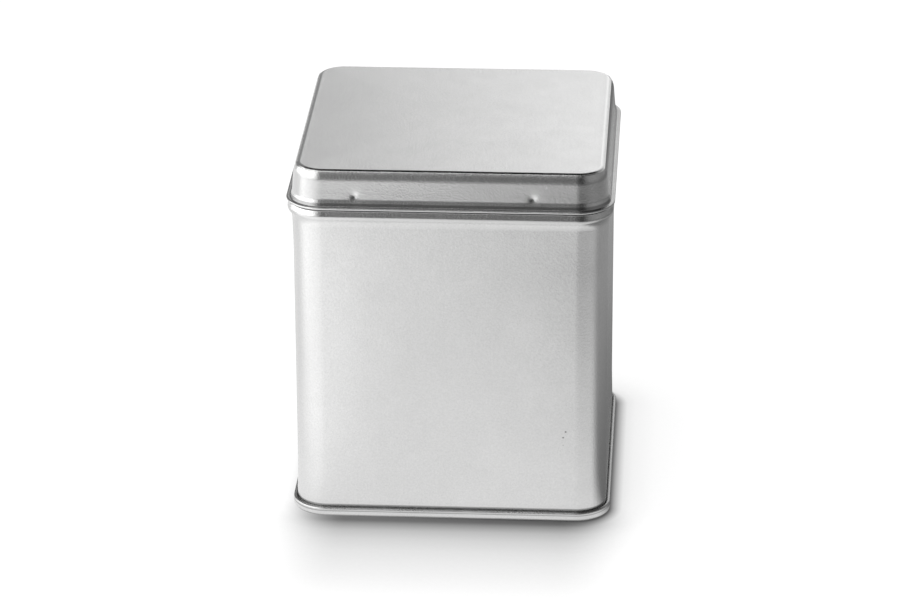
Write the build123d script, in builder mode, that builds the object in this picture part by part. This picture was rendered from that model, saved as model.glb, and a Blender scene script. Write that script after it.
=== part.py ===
"""Square hinged tinplate tin: seamed body, double-seamed bottom, drawn lid and a rear wire hinge.

Millimetres, +Z up.  The origin is on the plane that the tin stands on, at the centre of its whole
outline seen from above, hinge included.  The front, where the lid is pressed open, faces -Y, and the
hinge is at the back.  Every ring-shaped piece is one sheet-metal section swept round the same rounded
square.  The pieces are built round the square's own centre and then set forward together.
"""

import os
from math import cos, radians, sin, sqrt

from build123d import *

os.makedirs("parts", exist_ok=True)

# ---- driving dimensions ----
width = 75.0  # over the flat outer walls, the same both ways
corner_radius = 7.6  # of the body's outer wall, seen from above
height = 88.9
sheet = 0.28  # tinplate thickness
fold_gap = 0.04  # air between two folded layers
body_gap = 0.31  # clearance between the closed lid and the body's bead

# double seam round the bottom
seam_height = 2.2
seam_bend = 0.5
panel_height = 3.4  # middle of the recessed bottom panel above the table
panel_bend = 0.7
hook_length = 0.95
panel_rib_inset = 6.0
panel_rib_depth = 0.5

# bead, neck and rolled rim of the body
bead_start = 75.9
bead_full = 77.5
bead_top = 79.24
bead_out = 1.17  # how far the bead stands out of the wall before its edges are rounded
bead_lean = 0.6  # how far its face leans in, from its widest line to its top
neck_half = 35.45
rim_roll = 0.55  # outer radius of the rolled rim
rim_top = 84.55
bead_tail_bend = 3.0
bead_lower_bend = 1.0
bead_upper_bend = 0.35
neck_bend = 0.6
rim_turn = 315  # degrees that the rim is rolled through

# side seam of the body, on the back wall
lock_x = 25.0
lock_width = 4.0
lock_groove_width = 0.5
lock_groove_depth = 0.1

# lid
lid_foot_half = 37.4  # outer face of the lid's wall, where it starts to flare
lid_flare_start = 81.7
lid_flare_out = 0.54
lid_flare_bend = 2.0
lid_ledge_bend = 0.35
lid_reach = 38.8  # over the hemmed edge
lid_hem_return = 0.35
lid_draft = 0.082  # inward lean of the wall for each millimetre of height
lid_shoulder_in = 0.75  # the shoulder bends tightly at its top and gently at its foot
lid_shoulder_down = 1.52
lid_top_bend = 1.1
lid_shoulder_bend = 4.8
lid_flat_inset = 3.2  # from the top of the wall to where the flat top begins
dimple_places = (-22.1, 19.8)
dimple_height = 82.7
dimple_ball = 1.5  # radius of the ball that presses the dimple
dimple_depth = 0.5

# hinge
pin_radius = 0.6
pin_play = 0.05
leaf_sheet = 0.3
pin_length = 25.0
pin_chamfer = 0.15
knuckle_lid = 10.0
knuckle_body = 6.7
knuckle_gap = 0.3
lid_leaf_width = 20.0
lid_leaf_top = 86.0
lid_leaf_inner_bend = 0.3
lid_knuckle_turn = 290
body_knuckle_turn = 300
body_leaf_bottom = 65.0
body_leaf_bend = 74.2
body_leaf_clear = 76.6  # height above which the body leaf stands straight behind the bead
leaf_flare_start = 81.9  # where the lid leaf bends out, clear of the lid's flare
leaf_web_start = 38.35
leaf_corner = 1.5
weld_radius = 0.9
weld_spacing = 3.6
weld_depth = 0.1

# ---- worked out from the dimensions above ----
half = width / 2
mid = sheet / 2  # from a sheet's face to the middle of its thickness
layer = sheet + fold_gap
wall_line = half - mid
cover_hook_line = wall_line + layer
body_hook_line = cover_hook_line + layer
seaming_line = body_hook_line + layer
chuck_line = wall_line - layer
lid_foot_line = lid_foot_half - mid
hem_bend = (sheet + fold_gap) / 2
hem_radius = hem_bend + mid
hem_centre = lid_reach - hem_radius
ledge_top = bead_top + body_gap + 2 * hem_radius
ledge_line = ledge_top - mid
lid_top_line = lid_foot_line - lid_draft * (height - mid - lid_flare_start)
rim_line = rim_roll - mid
neck_line = neck_half - mid
rim_height = rim_top - rim_roll
leaf_mid = leaf_sheet / 2
knuckle_line = pin_radius + pin_play + leaf_mid
knuckle_radius = knuckle_line + leaf_mid
hinge_y = lid_reach + body_gap + knuckle_radius
web_height = ledge_top + pin_play + leaf_mid
hinge_z = web_height - knuckle_line
overhang = hinge_y + knuckle_radius - lid_reach
in_frame = Location((0, -overhang / 2, 0))  # centres the outline, as the hinge stands out at the back


def square_path():
    """The rounded square that every ring follows, starting half way along the +X side."""
    straight = half - corner_radius
    turn = corner_radius * (1 - sqrt(0.5))
    with BuildLine() as path:
        Line((half, 0), (half, straight))
        ThreePointArc((half, straight), (half - turn, half - turn), (straight, half))
        Line((straight, half), (-straight, half))
        ThreePointArc((-straight, half), (turn - half, half - turn), (-half, straight))
        Line((-half, straight), (-half, -straight))
        ThreePointArc((-half, -straight), (turn - half, turn - half), (-straight, -half))
        Line((-straight, -half), (straight, -half))
        ThreePointArc((straight, -half), (half - turn, turn - half), (half, -straight))
        Line((half, -straight), (half, 0))
    return path.wire()


def polar(centre, radius, angle):
    """A point on a circle of a section, with the angle in degrees."""
    return (centre[0] + radius * cos(radians(angle)), centre[1] + radius * sin(radians(angle)))


def roll(centre, radius, start, sweep_angle):
    """A rolled edge of a section, as an arc through its half-way point."""
    angles = (start, start + sweep_angle / 2, start + sweep_angle)
    return ThreePointArc(*[polar(centre, radius, angle) for angle in angles])


def ball_cap(centre, radius, keep):
    """The part of a ball within a box, for the hollow or the back of a pressed dimple."""
    return Pos(*centre) * Sphere(radius, mode=Mode.PRIVATE) & keep


ring = square_path()

# ---- body shell: one strip of tinplate, closed by a lock seam at the back ----
hook_bend = (body_hook_line - wall_line) / 2
hook_low = mid + sheet + fold_gap
lock_low = panel_height + sheet
lock_high = bead_start - sheet
with BuildPart() as body_shell:
    with BuildSketch(Plane.XZ):
        with BuildLine():
            FilletPolyline(
                (wall_line, hook_low + hook_bend),
                (wall_line, bead_start),
                (wall_line + bead_out, bead_full),
                (wall_line + bead_out - bead_lean, bead_top - mid),
                (neck_line, bead_top - mid),
                (neck_line, rim_height),
                radius=[bead_tail_bend, bead_lower_bend, bead_upper_bend, neck_bend],
            )
            roll((neck_line + rim_line, rim_height), rim_line, 180, -rim_turn)
            roll((wall_line + hook_bend, hook_low + hook_bend), hook_bend, 180, 180)
            Line(
                (body_hook_line, hook_low + hook_bend),
                (body_hook_line, hook_low + hook_bend + hook_length),
            )
        trace(line_width=sheet)
    sweep(path=ring)
    # the folded layers of the side seam, inside the back wall
    with BuildSketch(Plane.XY.offset(lock_low)):
        with Locations((lock_x, half - 1.5 * sheet)):
            Rectangle(lock_width, sheet)
    extrude(amount=lock_high - lock_low)
    # the line where the outer layer tucks under
    with BuildSketch(Plane.XY.offset(lock_low)):
        with Locations((lock_x - lock_width / 2, half)):
            Rectangle(lock_groove_width, 2 * lock_groove_depth)
    extrude(amount=lock_high - lock_low, mode=Mode.SUBTRACT)
body_shell.part.label = "body_shell"
body_shell.part.location = in_frame
export_step(body_shell.part, "parts/body_shell.step")

# ---- bottom end: recessed panel, chuck wall and seaming wall ----
panel_flat = chuck_line - panel_bend
cover_hook_low = hook_low + hook_bend
cover_bend = (seaming_line - cover_hook_line) / 2
cover_top = seam_height - mid - cover_bend
rib_half = half - panel_rib_inset
with BuildPart() as bottom_end:
    with BuildSketch(Plane.XZ):
        with BuildLine():
            FilletPolyline(
                (panel_flat - panel_bend, panel_height),
                (chuck_line, panel_height),
                (chuck_line, mid),
                (seaming_line, mid),
                (seaming_line, cover_top),
                radius=[panel_bend, seam_bend, seam_bend],
            )
            roll((cover_hook_line + cover_bend, cover_top), cover_bend, 0, 180)
            Line((cover_hook_line, cover_top), (cover_hook_line, cover_hook_low + sheet))
        trace(line_width=sheet)
    sweep(path=ring)
    with BuildSketch(Plane.XY.offset(panel_height - mid)):
        RectangleRounded(2 * panel_flat, 2 * panel_flat, corner_radius - (half - panel_flat))
    extrude(amount=sheet)
    # shallow stiffening step pressed upwards round the middle of the panel
    with BuildSketch(Plane.XY.offset(panel_height - mid)):
        RectangleRounded(2 * rib_half, 2 * rib_half, corner_radius)
    extrude(amount=sheet + panel_rib_depth)
    with BuildSketch(Plane.XY.offset(panel_height - mid)):
        RectangleRounded(2 * rib_half - 2 * sheet, 2 * rib_half - 2 * sheet, corner_radius - sheet)
    extrude(amount=panel_rib_depth, mode=Mode.SUBTRACT)
bottom_end.part.label = "bottom_end"
bottom_end.part.location = in_frame
export_step(bottom_end.part, "parts/bottom_end.step")

# ---- lid: drawn in one piece, its flared edge hemmed under, two snap dimples in front ----
lid_flat = lid_top_line - lid_flat_inset
shoulder_low = height - mid - lid_shoulder_down
shoulder_line = lid_foot_line - lid_draft * (shoulder_low - lid_flare_start)
dimple_y = lid_draft * (dimple_height - lid_flare_start) - lid_foot_half
ball_y = dimple_y - (dimple_ball - dimple_depth)
dimple_back = dimple_ball + sheet
back_half = lid_foot_half - lid_draft * (dimple_height + dimple_back - lid_flare_start)
behind_outer_face = Box(width, 2 * lid_foot_half, 2 * height)
behind_sheet_middle = Box(width, 2 * back_half, 2 * height)
with BuildPart() as lid:
    with BuildSketch(Plane.XZ):
        with BuildLine():
            FilletPolyline(
                (lid_flat, height - mid),
                (lid_top_line - lid_shoulder_in, height - mid),
                (shoulder_line, shoulder_low),
                (lid_foot_line, lid_flare_start),
                (lid_foot_line + lid_flare_out, ledge_line),
                (hem_centre, ledge_line),
                radius=[lid_top_bend, lid_shoulder_bend, lid_flare_bend, lid_ledge_bend],
            )
            roll((hem_centre, ledge_line - hem_bend), hem_bend, 90, -180)
            Line(
                (hem_centre, ledge_line - 2 * hem_bend),
                (hem_centre - lid_hem_return, ledge_line - 2 * hem_bend),
            )
        trace(line_width=sheet)
    sweep(path=ring)
    with BuildSketch(Plane.XY.offset(height - sheet)):
        flat_side = 2 * lid_flat + sheet
        RectangleRounded(flat_side, flat_side, corner_radius - (half - flat_side / 2))
    extrude(amount=sheet)
    for dimple_x in dimple_places:
        ball_centre = (dimple_x, ball_y, dimple_height)
        add(ball_cap(ball_centre, dimple_back, behind_sheet_middle))
        add(ball_cap(ball_centre, dimple_ball, behind_outer_face), mode=Mode.SUBTRACT)
lid.part.label = "lid"
lid.part.location = in_frame
export_step(lid.part, "parts/lid.step")

# ---- hinge: a pressed leaf on each part, with knuckles rolled round one wire ----
hinge_centre = (hinge_y, hinge_z)
hinge_half = knuckle_lid / 2 + knuckle_gap + knuckle_body
lid_wall_face = lid_foot_line + (mid + leaf_mid) * sqrt(1 + lid_draft**2)
lean_to_top = lid_draft * (lid_leaf_top - lid_flare_start)
lean_to_flare = lid_draft * (leaf_flare_start - lid_flare_start)
with BuildPart() as hinge_lid_leaf:
    with BuildSketch(Plane.YZ.offset(-lid_leaf_width / 2)):
        with BuildLine():
            FilletPolyline(
                (lid_wall_face - lean_to_top, lid_leaf_top),
                (lid_wall_face - lean_to_flare, leaf_flare_start),
                (leaf_web_start, web_height),
                (hinge_y, web_height),
                radius=lid_leaf_inner_bend,
            )
            roll(hinge_centre, knuckle_line, 90, -lid_knuckle_turn)
        trace(line_width=leaf_sheet)
    extrude(amount=lid_leaf_width)
    # only the middle knuckle reaches back over the hem
    side_cut = (lid_leaf_width - knuckle_lid) / 2
    for side in (-1, 1):
        with BuildSketch(Plane.XY.offset(hinge_z - 2 * knuckle_radius)):
            with Locations((side * (knuckle_lid + side_cut) / 2, half + 2 * knuckle_radius)):
                Rectangle(side_cut, 4 * knuckle_radius)
        extrude(amount=web_height + leaf_sheet - hinge_z + 2 * knuckle_radius, mode=Mode.SUBTRACT)
    fillet(
        hinge_lid_leaf.edges().filter_by(Axis.Y, tolerance=10).group_by(Axis.Z)[-1],
        radius=leaf_corner,
    )
hinge_lid_leaf.part.label = "hinge_lid_leaf"
hinge_lid_leaf.part.location = in_frame
export_step(hinge_lid_leaf.part, "parts/hinge_lid_leaf.step")

leaf_face = half + leaf_mid
strap_line = hinge_y - knuckle_line
middle_cut_low = hinge_z - knuckle_radius - 2 * knuckle_gap
with BuildPart() as hinge_body_leaf:
    with BuildSketch(Plane.YZ.offset(-hinge_half)):
        with BuildLine():
            FilletPolyline(
                (leaf_face, body_leaf_bottom),
                (leaf_face, body_leaf_bend),
                (strap_line, body_leaf_clear),
                (strap_line, hinge_z),
                radius=knuckle_radius,
            )
            roll(hinge_centre, knuckle_line, 180, -body_knuckle_turn)
        trace(line_width=leaf_sheet)
    extrude(amount=2 * hinge_half)
    # room for the lid's knuckle between the two body knuckles
    with BuildSketch(Plane.XY.offset(middle_cut_low)):
        with Locations((0, hinge_y)):
            Rectangle(knuckle_lid + 2 * knuckle_gap, 4 * knuckle_radius)
    extrude(amount=4 * knuckle_radius, mode=Mode.SUBTRACT)
    fillet(
        hinge_body_leaf.edges().filter_by(Axis.Y).group_by(Axis.Z)[0],
        radius=leaf_corner,
    )
    # spot welds that hold the leaf to the back wall
    with BuildSketch(Plane.XZ.offset(-half - leaf_sheet)):
        with GridLocations(hinge_half, weld_spacing, 2, 2):
            with Locations((0, (body_leaf_bottom + body_leaf_bend) / 2)):
                Circle(weld_radius)
    extrude(amount=weld_depth, mode=Mode.SUBTRACT)
hinge_body_leaf.part.label = "hinge_body_leaf"
hinge_body_leaf.part.location = in_frame
export_step(hinge_body_leaf.part, "parts/hinge_body_leaf.step")

with BuildPart() as hinge_pin:
    with BuildSketch(Plane.YZ.offset(-pin_length / 2)):
        with Locations(hinge_centre):
            Circle(pin_radius)
    extrude(amount=pin_length)
    chamfer(hinge_pin.edges().filter_by(GeomType.CIRCLE), length=pin_chamfer)
hinge_pin.part.label = "hinge_pin"
hinge_pin.part.location = in_frame
export_step(hinge_pin.part, "parts/hinge_pin.step")

print(f"hinge axis y {hinge_y - overhang / 2:.3f} z {hinge_z:.3f}")
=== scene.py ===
import math

import bpy
from mathutils import Matrix, Vector, noise


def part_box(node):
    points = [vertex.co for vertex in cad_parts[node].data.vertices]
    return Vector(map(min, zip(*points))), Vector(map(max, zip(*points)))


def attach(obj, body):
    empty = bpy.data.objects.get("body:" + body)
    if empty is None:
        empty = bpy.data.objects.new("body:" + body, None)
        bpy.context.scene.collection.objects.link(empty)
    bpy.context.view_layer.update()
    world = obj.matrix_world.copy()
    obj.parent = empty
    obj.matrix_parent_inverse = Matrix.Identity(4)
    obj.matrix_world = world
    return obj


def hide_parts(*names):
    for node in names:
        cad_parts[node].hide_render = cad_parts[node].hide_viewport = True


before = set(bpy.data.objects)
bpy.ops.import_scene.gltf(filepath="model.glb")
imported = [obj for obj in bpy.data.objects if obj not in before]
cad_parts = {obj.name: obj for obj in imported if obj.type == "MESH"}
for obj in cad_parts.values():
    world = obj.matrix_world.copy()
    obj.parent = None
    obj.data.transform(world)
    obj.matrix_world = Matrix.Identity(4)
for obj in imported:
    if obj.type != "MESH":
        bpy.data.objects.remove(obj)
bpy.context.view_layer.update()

MM = 0.001

# ---- the tin's section dimensions, in millimetres ----
LID_LOW, LID_HIGH = (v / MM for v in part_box("lid"))
BODY_LOW, BODY_HIGH = (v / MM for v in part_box("body_shell"))
END_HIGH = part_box("bottom_end")[1] / MM
SHEET = 0.28
HALF_SHEET = SHEET / 2
CORNER = 7.6  # corner radius at the outer wall
WALL = 37.5  # half width over the flat walls
STRAIGHT = WALL - CORNER
FORWARD = (BODY_LOW.y + BODY_HIGH.y) / 2  # the square body's centre, along Y
DIMPLES = (-22.1, 19.8)  # where the lid's two dimples are, along X
DIMPLE_Z = 82.7
SEAM_X = 23.0  # the side seam's groove, on the back wall
SEAM_HALF_GROOVE = 0.25
ARC_STEPS = 28  # in each corner of a ring


def ring_positions():
    """Where a ring's points lie along its front, right, back and left side, from the side's middle."""
    plain = [STRAIGHT * math.sin(math.radians(a)) for a in range(-90, 91, 6)]
    front = set(round(v, 3) for v in plain)
    for centre in DIMPLES:
        front |= {round(centre + 0.14 * k, 3) for k in range(-16, 17)}
    back = set(round(v, 3) for v in plain)
    for edge in (-SEAM_HALF_GROOVE, SEAM_HALF_GROOVE):
        back |= {round(SEAM_X + edge + d, 3) for d in (-0.08, 0, 0.08)}
    return sorted(front), sorted(plain), sorted(back), sorted(plain)


SIDES = ring_positions()


def ring(reach, corner, z):
    """A rounded square of points at one height: reach from the middle to a side, in millimetres."""
    points = []
    flat = reach - corner
    for side, (dx, dy) in enumerate(((1, 0), (0, 1), (-1, 0), (0, -1))):
        # the side faces -Y, +X, +Y, -X in turn, and runs along (dx, dy)
        nx, ny = dy, -dx
        for s in SIDES[side]:
            t = s * flat / STRAIGHT
            points.append(Vector((nx * reach + dx * t, ny * reach + dy * t, z)))
        cx, cy = nx * flat + dx * flat, ny * flat + dy * flat
        for k in range(1, ARC_STEPS):
            a = math.radians(90 * k / ARC_STEPS)
            ux = nx * math.cos(a) + dx * math.sin(a)
            uy = ny * math.cos(a) + dy * math.sin(a)
            points.append(Vector((cx + corner * ux, cy + corner * uy, z)))
    return points


def arc(cx, cz, radius, start, sweep, steps):
    """Points of a section along a circle, with angles in degrees."""
    turn = [math.radians(start + sweep * k / steps) for k in range(steps + 1)]
    return [(cx + radius * math.cos(a), cz + radius * math.sin(a)) for a in turn]


def straight(a, b, spacing):
    """Points between a and b, with one close to each end so that bends keep their shape."""
    length = math.dist(a, b)
    count = max(1, round(length / spacing))
    stops = [k / count for k in range(count + 1)]
    if length > 0.6:
        stops += [0.12 / length, 1 - 0.12 / length]
    stops = sorted(set(stops))
    return [(a[0] + (b[0] - a[0]) * t, a[1] + (b[1] - a[1]) * t) for t in stops]


def bent(points, radii, spacing, step=9):
    """A polyline with rounded corners, as closely spaced points."""
    path = []
    last = points[0]
    for i in range(1, len(points) - 1):
        p, a, b = (Vector(v) for v in (points[i], points[i - 1], points[i + 1]))
        u, v = (a - p).normalized(), (b - p).normalized()
        between = u.angle(v)
        reach = radii[i - 1] / math.tan(between / 2)
        start, end = p + u * reach, p + v * reach
        centre = p + (u + v).normalized() * (radii[i - 1] / math.sin(between / 2))
        path += straight(last, tuple(start), spacing)
        a0 = math.atan2(start.y - centre.y, start.x - centre.x)
        a1 = math.atan2(end.y - centre.y, end.x - centre.x)
        sweep = (a1 - a0 + math.pi) % (2 * math.pi) - math.pi
        steps = max(3, round(abs(math.degrees(sweep)) / step))
        path += arc(centre.x, centre.y, radii[i - 1], math.degrees(a0), math.degrees(sweep), steps)
        last = tuple(end)
    path += straight(last, points[-1], spacing)
    return path


def without_repeats(path):
    """The same path, leaving out points that lie on the one before."""
    kept = [path[0]]
    for p in path[1:]:
        if math.dist(p, kept[-1]) > 1e-4:
            kept.append(p)
    return kept


def skins(path, thickness):
    """The two faces of a sheet whose middle follows the path."""
    path = without_repeats(path)
    left, right = [], []
    for i, p in enumerate(path):
        a, b = path[max(0, i - 1)], path[min(len(path) - 1, i + 1)]
        if 0 < i < len(path) - 1:
            d1 = Vector((p[0] - a[0], p[1] - a[1])).normalized()
            d2 = Vector((b[0] - p[0], b[1] - p[1])).normalized()
            d = (d1 + d2).normalized()
        else:
            d = Vector((b[0] - a[0], b[1] - a[1])).normalized()
        n = Vector((-d.y, d.x)) * thickness / 2
        left.append((p[0] + n.x, p[1] + n.y))
        right.append((p[0] - n.x, p[1] - n.y))
    return left, right


def mesh_piece(name, rings, closed, caps=(), press=None, extra=()):
    """A mesh through rings of equal length.

    Caps are (ring's index, flipped) for the rings that are filled to the middle, press moves each point,
    and extra holds (points, faces) of flat-sided lumps that belong to the piece.
    """
    points, faces = [], []
    count = len(rings[0])
    for r in rings:
        points += r
    pairs = [(i, i + 1) for i in range(len(rings) - 1)]
    if closed:
        pairs.append((len(rings) - 1, 0))
    for a, b in pairs:
        for k in range(count):
            n = (k + 1) % count
            faces.append((a * count + k, a * count + n, b * count + n, b * count + k))
    for index, flip in caps:
        middle = len(points)
        points.append(Vector((0, 0, rings[index][0].z)))
        for k in range(count):
            n = (k + 1) % count
            face = (index * count + k, index * count + n, middle)
            faces.append(face[::-1] if flip else face)
    if press:
        points = [press(p) for p in points]
    rounded = len(faces)
    for more_points, more_faces in extra:
        first = len(points)
        points += more_points
        faces += [tuple(first + v for v in f) for f in more_faces]
    data = bpy.data.meshes.new(name)
    data.from_pydata([(p + Vector((0, FORWARD, 0))) * MM for p in points], [], faces)
    data.validate()
    data.polygons.foreach_set("use_smooth", [k < rounded for k in range(len(data.polygons))])
    made = bpy.data.objects.new(name, data)
    bpy.context.scene.collection.objects.link(made)
    return made


def section_rings(outline):
    """A ring for each point (reach, z) of a section."""
    return [ring(r, CORNER - (WALL - r), z) for r, z in outline]


def wave(p, size, seed):
    """Smooth unevenness of rolled sheet, from about -1 to 1."""
    return noise.noise(Vector((p.x / size + seed, p.y / size - seed, p.z / size + 2 * seed)))


def settle(amount, low, high, z, soft=6.0):
    """amount, fading to nothing towards both ends of a wall."""
    return amount * max(0.0, min(1.0, (z - low) / soft, (high - z) / soft))


# ---- body shell ----
HOOK_LINE = WALL - HALF_SHEET
BEAD_START = 75.9
BEAD_FULL = 77.5
BEAD_OUT = 1.17
BEAD_LEAN = 0.6
BEAD_TOP = 79.24
NECK = 35.31
RIM_LINE = 0.41
RIM_Z = BODY_HIGH.z - 0.55


CURVE_START = 18.5  # beyond this the walls curve gently in towards their corners
CURVE_DROP = 0.19
CURVE_SLOPE = 2 * CURVE_DROP / (STRAIGHT - CURVE_START)
CURVE_LOW, CURVE_HIGH, CURVE_FADE = 3, 75.5, 8.0  # heights between which the walls curve
WALL_LOW, WALL_HIGH = 6, 75  # heights between which the walls are uneven
UNEVEN = 0.035
KNOCK_Y, KNOCK_Z, KNOCK_DEPTH = 13.5, 31, 0.16
GROOVE_DEPTH = 0.1


def eased(p):
    """A point of the flat wall, moved to where a wall with gently curved margins has it."""
    beyond_x = max(0.0, abs(p.x) - STRAIGHT)
    beyond_y = max(0.0, abs(p.y) - STRAIGHT)
    if beyond_x and beyond_y:
        turn = math.atan2(beyond_x, beyond_y)
        drop = CURVE_DROP + CURVE_SLOPE * CORNER * math.sin(2 * turn) / 2
    else:
        along = min(abs(p.x), abs(p.y))
        turn = 0.0 if abs(p.x) < abs(p.y) else math.pi / 2
        drop = CURVE_DROP * max(0.0, (along - CURVE_START) / (STRAIGHT - CURVE_START)) ** 2
    inward = Vector((-math.copysign(math.sin(turn), p.x), -math.copysign(math.cos(turn), p.y), 0))
    return p + inward * drop


def wall_normal(p):
    """The direction out of the wall that a point belongs to."""
    if abs(p.x) > abs(p.y):
        return Vector((math.copysign(1, p.x), 0, 0))
    return Vector((0, math.copysign(1, p.y), 0))


def press_body(p):
    """Gently curved, slightly uneven walls, the side seam's groove and a small knock on the right wall."""
    q = p.copy()
    side = max(abs(p.x), abs(p.y))
    if CURVE_LOW < p.z < CURVE_HIGH:
        q = p.lerp(eased(p), settle(1.0, CURVE_LOW, CURVE_HIGH, p.z, CURVE_FADE))
    if not WALL - 0.5 < side < WALL + 0.05 or not WALL_LOW < p.z < WALL_HIGH:
        return q
    along = p.y if abs(p.x) > abs(p.y) else p.x
    fade = settle(1.0, WALL_LOW, WALL_HIGH, p.z) * max(0.0, 1 - abs(along / STRAIGHT) ** 4)
    push = -UNEVEN * fade * (0.6 + wave(p, 21, 3.7))
    out = wall_normal(p)
    if out.x > 0.5:
        across = (p.y - KNOCK_Y) / 5.0
        up = (p.z - KNOCK_Z + 0.5 * (p.y - KNOCK_Y)) / 2.2
        push -= KNOCK_DEPTH * math.exp(-(across**2) - up**2)
    if out.y > 0.5 and abs(p.x - SEAM_X) < SEAM_HALF_GROOVE + 0.01 and p.y > WALL - 0.1:
        push -= GROOVE_DEPTH * max(0.0, 1 - ((p.x - SEAM_X) / SEAM_HALF_GROOVE) ** 2)
    return q + out * push


def box_mesh(low, high, bevel):
    """A block with chamfered upright edges, as points and faces."""
    (x0, y0, z0), (x1, y1, z1) = low, high
    flat = [(x0 + bevel, y0), (x1 - bevel, y0), (x1, y0 + bevel), (x1, y1), (x0, y1), (x0, y0 + bevel)]
    n = len(flat)
    points = [Vector((x, y, z)) for z in (z0, z1) for x, y in flat]
    faces = [(k, (k + 1) % n, n + (k + 1) % n, n + k) for k in range(n)]
    faces += [tuple(range(n))[::-1], tuple(range(n, 2 * n))]
    return points, faces


middle = bent(
    [
        (HOOK_LINE, 0.9),
        (HOOK_LINE, BEAD_START),
        (HOOK_LINE + BEAD_OUT, BEAD_FULL),
        (HOOK_LINE + BEAD_OUT - BEAD_LEAN, BEAD_TOP - HALF_SHEET),
        (NECK, BEAD_TOP - HALF_SHEET),
        (NECK, RIM_Z),
    ],
    [3.0, 1.0, 0.35, 0.6],
    3.4,
)
middle += arc(NECK + RIM_LINE, RIM_Z, RIM_LINE, 180, -315, 30)[1:]
left, right = skins(middle, SHEET)
fold = box_mesh(
    (SEAM_X, WALL - 3 * HALF_SHEET - SHEET / 2, 3.7),
    (SEAM_X + 4, WALL - SHEET * 0.9, 75.3),
    0.08,
)
body_mesh = mesh_piece("tin_body", section_rings(left + right[::-1]), True, press=press_body, extra=[fold])

# ---- bottom end and its double seam ----
SEAM_LINE = END_HIGH.x - HALF_SHEET
COVER_TOP = 2.2 - HALF_SHEET - 0.32
middle = bent(
    [
        (35.4, 3.4),
        (WALL - 0.46, 3.4),
        (WALL - 0.46, HALF_SHEET),
        (SEAM_LINE, HALF_SHEET),
        (SEAM_LINE, COVER_TOP),
    ],
    [0.7, 0.5, 0.5],
    1.6,
)
middle += arc(SEAM_LINE - 0.32, COVER_TOP, 0.32, 0, 180, 14)[1:]
middle += straight((SEAM_LINE - 0.64, COVER_TOP), (SEAM_LINE - 0.64, 1.1), 0.8)[1:]
left, right = skins(middle, SHEET)
inner_low = [(31.2, 7.3, 0.0), (30.9, 7.2, 0.5), (24, 6, 0.5), (14, 4, 0.5), (5, 1.5, 0.5)]
under = [ring(r, c, right[0][1] + up) for r, c, up in inner_low]
above = [ring(r + 0.3, c + 0.2, left[0][1] + up) for r, c, up in inner_low]
rings = above[::-1] + section_rings(left + right[::-1]) + under
end_mesh = mesh_piece("tin_bottom", rings, False, caps=[(0, True), (len(rings) - 1, False)])

# ---- lid ----
LID_TOP = LID_HIGH.z
HEM = 0.16  # bend radius of the hem's middle line
LEDGE = LID_LOW.z + 2 * (HEM + HALF_SHEET) - HALF_SHEET
HEM_CENTRE = LID_HIGH.x - HEM - HALF_SHEET
FLARE = 81.7  # where the wall starts to flare out towards its hemmed edge
LID_FOOT = 37.26
DRAFT = 0.082
LID_SHOULDER = LID_FOOT - DRAFT * (LID_TOP - HALF_SHEET - FLARE)
SHOULDER_LOW = LID_TOP - HALF_SHEET - 1.52
SHOULDER_FOOT = 86.5  # below this the lid's wall is flat enough to be uneven
CROWN = 0.13  # how far the top falls from its middle to its edge


def press_lid(p):
    """The two dimples in front, a very slightly domed top and slightly uneven walls."""
    q = p.copy()
    if p.y < -30 and LEDGE + 0.4 < p.z < 87:
        for centre in DIMPLES:
            away = math.hypot(p.x - centre, p.z - DIMPLE_Z)
            q.y += 0.2 * math.exp(-((away / 0.7) ** 2)) + 0.05 * math.exp(-((away / 1.6) ** 2))
    if p.z > LID_TOP - 0.5:
        inside = max(0.0, 1 - (max(abs(p.x), abs(p.y)) / 34.5) ** 2)
        q.z -= CROWN * (1 - inside) * (1 + 0.3 * wave(p, 26, 9.1))
    if max(abs(p.x), abs(p.y)) > 36 and FLARE < p.z < SHOULDER_FOOT:
        fade = settle(1.0, FLARE, SHOULDER_FOOT, p.z, 2.0)
        q -= wall_normal(p) * 0.018 * fade * (0.6 + wave(p, 17, 5.3))
    return q


middle = bent(
    [
        (33.4, LID_TOP - HALF_SHEET),
        (LID_SHOULDER - 0.75, LID_TOP - HALF_SHEET),
        (LID_FOOT - DRAFT * (SHOULDER_LOW - FLARE), SHOULDER_LOW),
        (LID_FOOT, FLARE),
        (LID_FOOT + 0.54, LEDGE),
        (HEM_CENTRE, LEDGE),
    ],
    [1.1, 4.8, 2.0, 0.35],
    0.14,
    step=4,
)
middle += arc(HEM_CENTRE, LEDGE - HEM, HEM, 90, -180, 14)[1:]
middle += straight((HEM_CENTRE, LEDGE - 2 * HEM), (HEM_CENTRE - 0.35, LEDGE - 2 * HEM), 0.2)[1:]
left, right = skins(middle, SHEET)
inner = [(31, 3.6), (27, 3.4), (22, 3.2), (16, 3.0), (10, 2.4), (4, 1.2)]
above = [ring(r, c, left[0][1]) for r, c in inner]
under = [ring(r, c, right[0][1]) for r, c in inner]
rings = above[::-1] + section_rings(left + right[::-1]) + under
lid_mesh = mesh_piece("tin_lid", rings, False, caps=[(0, True), (len(rings) - 1, False)], press=press_lid)


# ---- materials ----
def new_tree(name):
    """A material with an empty node tree."""
    material = bpy.data.materials.new(name)
    material.use_nodes = True
    tree = material.node_tree
    tree.nodes.clear()
    return material, tree


def node(tree, kind, inputs=None, **settings):
    """A node with its inputs set to values, or linked where the value is another node's output."""
    made = tree.nodes.new(kind)
    for key, value in settings.items():
        setattr(made, key, value)
    for key, value in (inputs or {}).items():
        if isinstance(value, bpy.types.NodeSocket):
            tree.links.new(value, made.inputs[key])
        else:
            made.inputs[key].default_value = value
    return made


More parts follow.
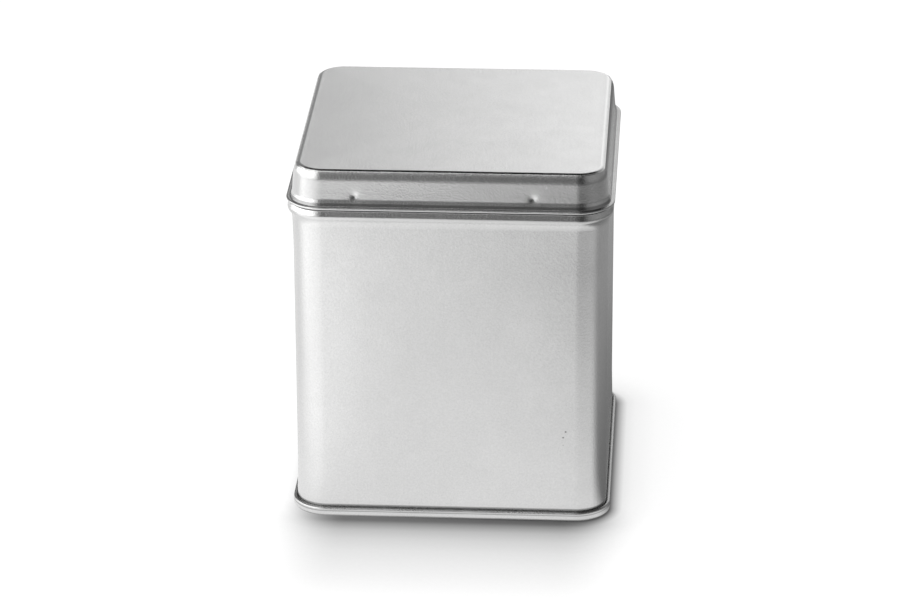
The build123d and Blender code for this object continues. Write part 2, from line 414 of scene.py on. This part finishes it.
def maths(tree, operation, a, b=0.0, c=0.0, clamp=False):
    """The result of one sum."""
    return node(tree, "ShaderNodeMath", {0: a, 1: b, 2: c}, operation=operation, use_clamp=clamp).outputs[0]


def blotch(tree, where, scale, detail=3.0, rough=0.55):
    """Noise with features of about 1 / scale metres."""
    return node(
        tree, "ShaderNodeTexNoise", {"Vector": where, "Scale": scale, "Detail": detail, "Roughness": rough}
    ).outputs["Fac"]


def spread(tree, value, low, high, to_low, to_high):
    """A straight ramp from one range to another, clamped at its ends."""
    return node(
        tree,
        "ShaderNodeMapRange",
        {"Value": value, "From Min": low, "From Max": high, "To Min": to_low, "To Max": to_high},
    ).outputs["Result"]


def smooth(tree, value, low, high, to_low=0.0, to_high=1.0):
    """The same as spread, with a soft start and end."""
    return node(
        tree,
        "ShaderNodeMapRange",
        {"Value": value, "From Min": low, "From Max": high, "To Min": to_low, "To Max": to_high},
        interpolation_type="SMOOTHSTEP",
    ).outputs["Result"]


def tinplate(name, tone, roughness, grain=1.0, crease_shade=0.25, specks=(), shade_bands=(), stains=1.0):
    """Satin tinplate: even fine grain, faint cloudiness and hairline scuffs.

    Specks are (place, radius, tone) and bands of painted shade round the tin are (height, half width, tone).
    """
    material, tree = new_tree(name)
    where = node(tree, "ShaderNodeTexCoord").outputs["Object"]
    fine = blotch(tree, where, 2300.0, 3.0, 0.7)
    finer = blotch(tree, where, 7200.0, 1.0, 0.5)
    cloud = blotch(tree, where, 55.0, 3.0, 0.5)
    smear = blotch(tree, where, 190.0, 4.0, 0.6)
    turned = {"Vector": where, "Rotation": (0.35, 0.2, 0.5), "Scale": (1, 14, 1)}
    stretched = node(tree, "ShaderNodeMapping", turned)
    scuff = blotch(tree, stretched.outputs["Vector"], 420.0, 4.0, 0.65)
    scuff_mask = spread(tree, scuff, 0.70, 0.80, 0.0, 1.0)

    shade = spread(tree, cloud, 0.3, 0.7, 1 - 0.022 * stains, 1 + 0.012 * stains)
    shade = maths(tree, "MULTIPLY", shade, spread(tree, smear, 0.35, 0.75, 1.0, 1 - 0.02 * stains))
    shade = maths(tree, "MULTIPLY", shade, spread(tree, fine, 0.25, 0.75, 0.93, 1.05))
    # painted shade: the colour darkens in concave creases and bends, where the surface is hollow
    bevelled = node(tree, "ShaderNodeNewGeometry").outputs["Pointiness"]
    edge = spread(tree, bevelled, 0.5, 0.42, 0.0, 1.0)
    shade = maths(tree, "MULTIPLY", shade, spread(tree, edge, 0.0, 1.0, 1.0, 1 - crease_shade))
    for place, radius, dark in specks:
        spot_at = (place[0] * MM, (place[1] + FORWARD) * MM, place[2] * MM)
        away = node(tree, "ShaderNodeVectorMath", {0: where, 1: spot_at}, operation="DISTANCE")
        spot = spread(tree, away.outputs["Value"], radius * MM, radius * MM * 0.45, 1.0, dark)
        shade = maths(tree, "MULTIPLY", shade, spot)
    level_at = node(tree, "ShaderNodeSeparateXYZ", {0: where}).outputs[2]
    # painted shade: a darker band round the tin at each given height
    for level, half_width, dark in shade_bands:
        gap = maths(tree, "ABSOLUTE", maths(tree, "SUBTRACT", level_at, level * MM))
        gap = maths(tree, "ADD", gap, maths(tree, "MULTIPLY", maths(tree, "SUBTRACT", smear, 0.5), 0.2 * MM))
        line = smooth(tree, gap, half_width * 0.4 * MM, half_width * MM, dark, 1.0)
        shade = maths(tree, "MULTIPLY", shade, line)
    mixed = {0: shade, 6: (0, 0, 0, 1), 7: tone}
    colour = node(tree, "ShaderNodeMix", mixed, data_type="RGBA", clamp_factor=False)
    rough = spread(tree, smear, 0.3, 0.75, roughness - 0.02, roughness + 0.03)
    rough = maths(tree, "ADD", rough, maths(tree, "MULTIPLY", scuff_mask, 0.05))
    rough = maths(tree, "ADD", rough, maths(tree, "MULTIPLY", finer, 0.03))
    height = maths(tree, "ADD", fine, maths(tree, "MULTIPLY", finer, 0.35))
    height = maths(tree, "ADD", height, maths(tree, "MULTIPLY", scuff_mask, -0.1))
    bump = node(tree, "ShaderNodeBump", {"Strength": 1.0, "Distance": 3.4e-5 * grain, "Height": height})
    surface = {
        "Base Color": colour.outputs[2],
        "Metallic": 1.0,
        "Roughness": rough,
        "Normal": bump.outputs["Normal"],
    }
    shader = node(tree, "ShaderNodeBsdfPrincipled", surface)
    tree.links.new(shader.outputs[0], node(tree, "ShaderNodeOutputMaterial").inputs[0])
    return material


def give(piece, material):
    """Make a material a piece's only one."""
    piece.data.materials.clear()
    piece.data.materials.append(material)


body_metal = tinplate(
    "tinplate_body",
    (0.73, 0.73, 0.728, 1),
    0.19,
    specks=[
        ((27.8, -WALL, 23.2), 0.32, 0.25),
        ((27.2, -WALL, 21.7), 0.3, 0.3),
        ((27.2, -WALL, 19.7), 0.22, 0.6),
    ],
    # painted shade in the crevice above the bottom seam
    shade_bands=[(2.5, 0.5, 0.45)],
)
lid_metal = tinplate(
    "tinplate_lid",
    (0.74, 0.74, 0.738, 1),
    0.19,
    specks=[((22.97, -37.0, 85.5), 0.22, 1.35)],
    # painted shade in the crevice between the lid's wall and its hem
    shade_bands=[(LEDGE + 0.5, 0.65, 0.5)],
)
end_metal = tinplate(
    "tinplate_bottom",
    (0.71, 0.71, 0.708, 1),
    0.27,
    # stronger painted shade in the bottom end's concave creases
    crease_shade=0.4,
    # painted shade along the bottom edge, in a thin line across the double seam and at the seam's top
    shade_bands=[(0.0, 0.6, 0.35), (1.45, 0.22, 0.6), (2.3, 0.4, 0.6)],
    stains=1.6,
)
hinge_metal = tinplate("tinplate_hinge", (0.69, 0.69, 0.685, 1), 0.28, stains=1.5)
wire_metal = tinplate("steel_wire", (0.60, 0.60, 0.60, 1), 0.33, grain=0.6, stains=1.5)

give(body_mesh, body_metal)
give(end_mesh, end_metal)
give(lid_mesh, lid_metal)
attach(body_mesh, "tin")
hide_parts("body_shell")
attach(end_mesh, "tin")
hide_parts("bottom_end")
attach(lid_mesh, "lid")
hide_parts("lid")
for leaf in ("hinge_lid_leaf", "hinge_body_leaf"):
    give(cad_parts[leaf], hinge_metal)
give(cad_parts["hinge_pin"], wire_metal)

# ---- floor: one sheet that is seen, and one that only the metal mirrors ----
FLOOR_RADIUS = 2.4
BRIGHTEST = 3.0  # the most that a ramp of brightness can hold


def disc(name, radius, z):
    """A flat round sheet for the stage."""
    count = 96
    turn = [2 * math.pi * k / count for k in range(count)]
    points = [(radius * math.cos(a), radius * math.sin(a), z) for a in turn]
    data = bpy.data.meshes.new(name)
    data.from_pydata(points, [], [tuple(range(count))])
    made = bpy.data.objects.new(name, data)
    bpy.context.scene.collection.objects.link(made)
    return made


def brightness(tree, value, stops):
    """A ramp of (place, brightness) stops, with places from 0 to 1."""
    ramp = node(tree, "ShaderNodeValToRGB", {"Fac": value})
    elements = ramp.color_ramp.elements
    while len(elements) < len(stops):
        elements.new(0.5)
    for element, (place, bright) in zip(elements, stops):
        element.position = place
        element.color = (bright / BRIGHTEST, bright / BRIGHTEST, bright / BRIGHTEST, 1)
    return maths(tree, "MULTIPLY", ramp.outputs[0], BRIGHTEST)


def floor_places(tree):
    """x and y in millimetres from the centre of the tin's square."""
    where = node(tree, "ShaderNodeTexCoord").outputs["Object"]
    parts = node(tree, "ShaderNodeSeparateXYZ", {0: where}).outputs
    x = maths(tree, "MULTIPLY", parts[0], 1 / MM)
    y = maths(tree, "MULTIPLY_ADD", parts[1], 1 / MM, -FORWARD)
    return x, y


def long_way(tree, a, b):
    """The length of the slanting side of a right-angled triangle."""
    squares = maths(tree, "ADD", maths(tree, "MULTIPLY", a, a), maths(tree, "MULTIPLY", b, b))
    return maths(tree, "SQRT", squares)


def blend(tree, factor, a, b):
    """A mix of a and b, by a factor from 0 to 1."""
    return node(tree, "ShaderNodeMix", {0: factor, 2: a, 3: b}, data_type="FLOAT").outputs[0]


floor = disc("floor", FLOOR_RADIUS, -1e-5)
floor.visible_glossy = False
material, tree = new_tree("pale_floor")
x, y = floor_places(tree)
# painted shadow: the seen floor glows, and the shade round the tin is painted into that glow
ahead = maths(tree, "SUBTRACT", maths(tree, "MULTIPLY", y, -1.0), 38.3)
in_front = maths(tree, "MULTIPLY", smooth(tree, ahead, -9.0, 3.0), smooth(tree, x, -46.0, -25.0))
in_front = maths(tree, "MULTIPLY", in_front, smooth(tree, x, 48.0, 26.0))
beside = maths(tree, "MAXIMUM", maths(tree, "SUBTRACT", maths(tree, "ABSOLUTE", x), 30.4), 0.0)
before = maths(tree, "MAXIMUM", maths(tree, "SUBTRACT", maths(tree, "ABSOLUTE", y), 30.4), 0.0)
away = maths(tree, "SUBTRACT", long_way(tree, beside, before), 8.0)  # from the seam's rounded outline
front_shade = brightness(
    tree,
    maths(tree, "DIVIDE", away, 60.0, clamp=True),
    (
        (0.0, 0.0),
        (0.03, 0.08),
        (0.06, 0.24),
        (0.12, 0.47),
        (0.2, 0.61),
        (0.3, 0.71),
        (0.5, 0.82),
        (0.6, 0.88),
        (0.8, 1.0),
    ),
)
edge_shade = brightness(
    tree,
    maths(tree, "DIVIDE", away, 30.0, clamp=True),
    ((0.0, 0.1), (0.035, 0.4), (0.07, 0.64), (0.1, 0.8), (0.17, 0.87), (0.35, 0.94), (0.8, 1.0)),
)
edge_shade = blend(tree, smooth(tree, x, -40.0, 30.0, 0.25, 1.0), 1.0, edge_shade)
shade = maths(tree, "MULTIPLY", blend(tree, in_front, 1.0, front_shade), edge_shade)
where = node(tree, "ShaderNodeTexCoord").outputs["Object"]
grain = spread(tree, blotch(tree, where, 900.0), 0.3, 0.7, 0.99, 1.01)
shade = maths(tree, "MULTIPLY", shade, grain)
surface = node(tree, "ShaderNodeBsdfDiffuse", {"Color": (0.13, 0.13, 0.13, 1)})
glow = node(tree, "ShaderNodeEmission", {"Color": (1, 1, 1, 1), "Strength": shade})
both = node(tree, "ShaderNodeAddShader", {0: surface.outputs[0], 1: glow.outputs[0]})
tree.links.new(both.outputs[0], node(tree, "ShaderNodeOutputMaterial").inputs[0])
floor.data.materials.append(material)

mirrored = disc("mirrored_floor", FLOOR_RADIUS, -2e-5)
mirrored.visible_camera = False
mirrored.visible_diffuse = False
mirrored.visible_shadow = False
material, tree = new_tree("mirrored_floor")
x, y = floor_places(tree)
lit = brightness(
    tree,
    maths(tree, "DIVIDE", maths(tree, "MULTIPLY", y, -1.0), 800.0, clamp=True),
    ((0.0, 0.93), (0.08, 0.93), (0.17, 0.88), (0.25, 0.84), (0.45, 0.72), (0.7, 0.48), (1.0, 0.28)),
)
# brighter towards the large light at the left
left_glow = brightness(
    tree,
    maths(tree, "DIVIDE", maths(tree, "MULTIPLY_ADD", x, -1.0, -8.0), 230.0, clamp=True),
    (
        (0.0, 0.0),
        (0.083, 0.05),
        (0.157, 0.3),
        (0.22, 0.38),
        (0.28, 0.41),
        (0.44, 0.43),
        (0.61, 0.46),
        (1.0, 0.6),
    ),
)
left_glow = maths(tree, "MULTIPLY", left_glow, smooth(tree, y, 20.0, -100.0))
lit = maths(tree, "MULTIPLY", lit, maths(tree, "ADD", left_glow, 1.0))
# dimmer towards the front right
distance = long_way(tree, x, y)
dim = brightness(
    tree,
    maths(tree, "DIVIDE", distance, 400.0, clamp=True),
    ((0.0, 0.0), (0.15, 0.06), (0.2, 0.12), (0.37, 0.24), (0.52, 0.38), (0.75, 0.6), (1.0, 0.75)),
)
dim = maths(tree, "MULTIPLY", dim, smooth(tree, x, 5.0, 60.0))
lit = maths(tree, "MULTIPLY", lit, maths(tree, "SUBTRACT", 1.0, dim))
# the tin's own shade at its right
turn = maths(
    tree,
    "MULTIPLY",
    maths(tree, "ARCTAN2", maths(tree, "SUBTRACT", x, 22.0), maths(tree, "MULTIPLY_ADD", y, -1.0, -28.0)),
    180 / math.pi,
)
to_right = maths(tree, "MULTIPLY", smooth(tree, turn, 60.0, 92.0), smooth(tree, x, 5.0, 38.0))
own_shade = brightness(
    tree,
    maths(tree, "DIVIDE", distance, 400.0, clamp=True),
    (
        (0.0, 0.2),
        (0.125, 0.2),
        (0.225, 0.3),
        (0.325, 0.42),
        (0.41, 0.5),
        (0.5, 0.66),
        (0.6, 0.72),
        (1.0, 0.75),
    ),
)
lit = maths(tree, "MULTIPLY", lit, blend(tree, to_right, 1.0, own_shade))
glow = node(tree, "ShaderNodeEmission", {"Color": (1, 1, 1, 1), "Strength": lit})
tree.links.new(glow.outputs[0], node(tree, "ShaderNodeOutputMaterial").inputs[0])
mirrored.data.materials.append(material)
material.cycles.emission_sampling = "NONE"

# ---- studio light: bright and dark surfaces round the tin, by azimuth and height ----
world = bpy.data.worlds.new("studio")
bpy.context.scene.world = world
world.use_nodes = True
tree = world.node_tree
tree.nodes.clear()
direction = node(tree, "ShaderNodeTexCoord").outputs["Generated"]
parts = node(tree, "ShaderNodeSeparateXYZ", {0: direction}).outputs
ahead = maths(tree, "MULTIPLY", parts[1], -1.0)
round_about = maths(tree, "MULTIPLY_ADD", maths(tree, "ARCTAN2", parts[0], ahead), 0.5 / math.pi, 0.5)
climb = maths(tree, "MULTIPLY", maths(tree, "ARCSINE", parts[2]), 180 / math.pi)


def by_azimuth(*stops):
    """Brightness stops at azimuths in degrees: 0 in front, 90 at the right, -90 at the left."""
    return brightness(tree, round_about, [(azimuth / 360 + 0.5, bright) for azimuth, bright in stops])


low_ring = by_azimuth(
    (-180, 1.18),
    (-178, 1.04),
    (-175, 0.69),
    (-170, 0.33),
    (-150, 0.24),
    (-125, 0.28),
    (-118, 2.0),
    (-36, 2.0),
    (-25, 1.0),
    (-16, 0.36),
    (-8, 0.19),
    (0, 0.14),
    (10, 0.04),
    (24, 0.04),
    (36, 0.22),
    (60, 0.3),
    (110, 0.25),
    (140, 0.35),
    (155, 0.8),
    (168, 1.15),
    (176, 1.27),
    (180, 1.18),
)
high_ring = by_azimuth(
    (-180, 0.02),
    (-110, 0.02),
    (-90, 1.6),
    (-30, 2.0),
    (-4, 1.3),
    (8, 0.6),
    (20, 0.2),
    (90, 0.2),
    (110, 0.02),
    (180, 0.02),
)
sky_light = blend(tree, smooth(tree, climb, 41.0, 46.0), low_ring, high_ring)
sky_light = blend(tree, smooth(tree, climb, 66.0, 74.0), sky_light, 0.01)
sky = node(tree, "ShaderNodeBackground", {"Color": sky_light, "Strength": 1.0})
tree.links.new(sky.outputs[0], node(tree, "ShaderNodeOutputWorld").inputs[0])

# ---- camera, at the angle the tin is seen from ----
AZIMUTH, ELEVATION, ROLL = (math.radians(v) for v in (3.591, 22.944, -0.273))
back = Vector(
    (
        math.sin(AZIMUTH) * math.cos(ELEVATION),
        -math.cos(AZIMUTH) * math.cos(ELEVATION),
        math.sin(ELEVATION),
    )
)
across = Vector((math.cos(AZIMUTH), math.sin(AZIMUTH), 0))
upward = back.cross(across)
turned = across * math.cos(ROLL) + upward * math.sin(ROLL)
upright = upward * math.cos(ROLL) - across * math.sin(ROLL)
camera_data = bpy.data.cameras.new("camera")
camera_data.lens = 165.64
camera_data.sensor_width = 36.0
camera_data.clip_start = 0.01
camera_data.clip_end = 20.0
camera = bpy.data.objects.new("camera", camera_data)
bpy.context.scene.collection.objects.link(camera)
camera.matrix_world = Matrix.Translation((0.056649, -0.935861 + FORWARD * MM, 0.437947)) @ Matrix(
    (turned, upright, back)
).transposed().to_4x4()
bpy.context.scene.camera = camera
bpy.context.scene.view_settings.view_transform = "Standard"
